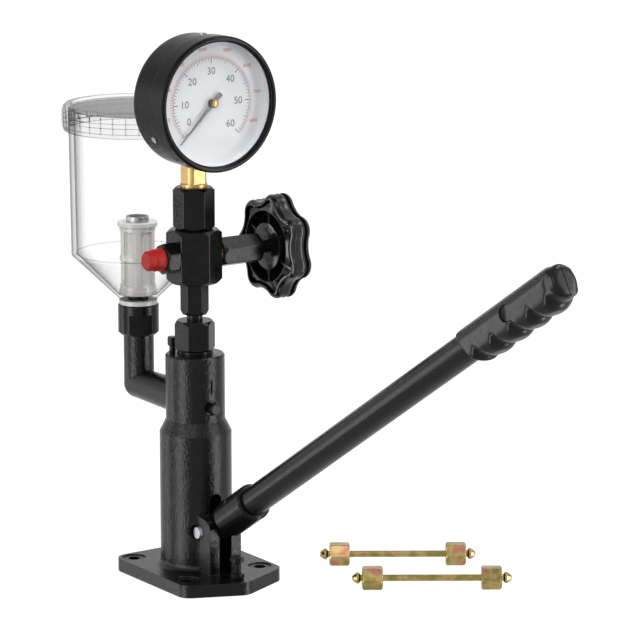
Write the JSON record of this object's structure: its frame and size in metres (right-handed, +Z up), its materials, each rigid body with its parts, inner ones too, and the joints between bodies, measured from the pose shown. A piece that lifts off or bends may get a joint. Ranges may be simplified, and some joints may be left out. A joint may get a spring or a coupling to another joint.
{
  "type": "diesel injector tester",
  "caption": "Bench hand pump for testing diesel injectors, with a lever, clear fuel cup, shut-off valve with star knob, pressure gauge, capped outlet and loose test pipes.",
  "frame": {"origin": "on the pump column's axis at the underside of the base plate", "axes": "+Z up along the column, -Y to the front where the lever points, +Y to the fuel cup, +X to the star knob"},
  "size_m": [0.2567, 0.5989, 0.4303],
  "materials": {
    "cast_paint": "gloss black paint over a rough casting",
    "black_steel": "black oxide, satin",
    "bright_steel": "bright zinc plate",
    "brass": "turned",
    "knob_plastic": "glossy black moulding",
    "grip_plastic": "semi-gloss black moulding",
    "gauge_black": "gloss black paint",
    "gauge_glass": "clear",
    "dial_white": "matt white with a printed scale",
    "red_plastic": "soft moulding",
    "clear_plastic": "clear moulding",
    "white_plastic": "translucent white moulding",
    "seal_rubber": "matt",
    "yellow_zinc": "yellow chromate over zinc"
  },
  "bodies": {
    "tester": {"pump_body": "cast_paint", "pump_barrel": "bright_steel", "plunger_spring": "bright_steel", "barrel_screw": "bright_steel", "bleed_screw": "bright_steel", "delivery_seat": "bright_steel", "delivery_spring": "bright_steel", "delivery_holder": "black_steel", "union_nut": "black_steel", "valve_nipple": "black_steel", "valve_block": "black_steel", "outlet_nipple": "black_steel", "bonnet_washer": "brass", "valve_bonnet": "black_steel", "stem_seal": "seal_rubber", "gauge_coupling": "black_steel", "gauge_socket": "brass", "gauge_case": "gauge_black", "gauge_bezel": "gauge_black", "gauge_window": "gauge_glass", "gauge_dial": "dial_white", "movement_frame": "brass", "bourdon_tube": "brass", "gauge_case_screws": "bright_steel", "reservoir_neck": "black_steel", "neck_gasket": "white_plastic", "reservoir_cup": "clear_plastic", "filter_body": "white_plastic", "filter_mesh": "white_plastic", "filter_ring": "bright_steel", "pivot_pin": "bright_steel", "pivot_clip": "bright_steel", "stop_screw": "black_steel", "stop_nut": "black_steel"},
    "pump_lever": {"lever_rocker": "black_steel", "lever_tube": "black_steel", "lever_grip": "grip_plastic", "lever_set_screw": "bright_steel"},
    "pump_plunger": {"tappet": "black_steel", "plunger": "bright_steel"},
    "delivery_valve": {"delivery_ball": "bright_steel"},
    "valve_needle": {"valve_stem": "black_steel"},
    "star_knob": {"hand_knob": "knob_plastic", "knob_screw": "bright_steel"},
    "gauge_sector": {"sector_gear": "brass"},
    "gauge_hand": {"gauge_pointer": "gauge_black", "pointer_pinion": "brass"},
    "fuel_lid": {"reservoir_cap": "clear_plastic"},
    "dust_cap": {"outlet_cap": "red_plastic"},
    "pipe_1": {"test_pipe_1": "yellow_zinc"},
    "pipe_1_near_nut": {"pipe_1_nut_a": "yellow_zinc"},
    "pipe_1_far_nut": {"pipe_1_nut_b": "yellow_zinc"},
    "pipe_2": {"test_pipe_2": "yellow_zinc"},
    "pipe_2_near_nut": {"pipe_2_nut_a": "yellow_zinc"},
    "pipe_2_far_nut": {"pipe_2_nut_b": "yellow_zinc"}
  },
  "joints": [
    {"name": "lever_hinge", "type": "hinge", "parent": "tester", "child": "pump_lever", "pos_m": [0, -0.026, 0.0419], "axis": [1, 0, 0], "range_deg": [0, 31], "stiffness_Nm_per_rad": 2.83, "springref_deg": -42.97},
    {"name": "plunger_slide", "type": "slide", "parent": "tester", "child": "pump_plunger", "axis": [0, 0, 1], "range_m": [0, 0.0145], "deforming": ["plunger_spring"]},
    {"name": "delivery_lift", "type": "slide", "parent": "tester", "child": "delivery_valve", "axis": [0, 0, 1], "range_m": [0, 0.0012], "stiffness_N_per_m": 500, "deforming": ["delivery_spring"]},
    {"name": "stem_travel", "type": "slide", "parent": "tester", "child": "valve_needle", "axis": [1, 0, 0], "range_m": [0, 0.0031]},
    {"name": "knob_turn", "type": "hinge", "parent": "valve_needle", "child": "star_knob", "pos_m": [0.08, 0, 0.256], "axis": [1, 0, 0], "range_deg": [0, 720]},
    {"name": "sector_turn", "type": "hinge", "parent": "tester", "child": "gauge_sector", "pos_m": [0, -0.006, 0.3569], "axis": [0, -1, 0], "range_deg": [0, 54], "stiffness_Nm_per_rad": 0.01, "springref_deg": -5.73},
    {"name": "pointer_turn", "type": "hinge", "parent": "tester", "child": "gauge_hand", "pos_m": [0, -0.028, 0.3779], "axis": [0, 1, 0], "range_deg": [0, 270]},
    {"name": "lid_lift", "type": "slide", "parent": "tester", "child": "fuel_lid", "axis": [0, 0, 1], "range_m": [0, 0.06]},
    {"name": "dust_cap_pull", "type": "slide", "parent": "tester", "child": "dust_cap", "axis": [-1, 0, 0], "range_m": [0, 0.03]},
    {"name": "pipe_1_lift", "type": "slide", "parent": "tester", "child": "pipe_1", "axis": [0, 0, 1], "range_m": [0, 0.08]},
    {"name": "pipe_1_near_nut_slide", "type": "slide", "parent": "pipe_1", "child": "pipe_1_near_nut", "axis": [0.8241, -0.5664, 0], "range_m": [0, 0.03]},
    {"name": "pipe_1_far_nut_slide", "type": "slide", "parent": "pipe_1", "child": "pipe_1_far_nut", "axis": [-0.8241, 0.5664, 0], "range_m": [0, 0.03]},
    {"name": "pipe_2_lift", "type": "slide", "parent": "tester", "child": "pipe_2", "axis": [0, 0, 1], "range_m": [0, 0.08]},
    {"name": "pipe_2_near_nut_slide", "type": "slide", "parent": "pipe_2", "child": "pipe_2_near_nut", "axis": [0.8241, -0.5664, 0], "range_m": [0, 0.03]},
    {"name": "pipe_2_far_nut_slide", "type": "slide", "parent": "pipe_2", "child": "pipe_2_far_nut", "axis": [-0.8241, 0.5664, 0], "range_m": [0, 0.03]}
  ],
  "couplings": [
    {"joint": "plunger_slide", "follows": "lever_hinge", "m_per_rad": 0.026672},
    {"joint": "stem_travel", "follows": "knob_turn", "m_per_rad": 0.000239},
    {"joint": "pointer_turn", "follows": "sector_turn", "ratio": 5}
  ]
}
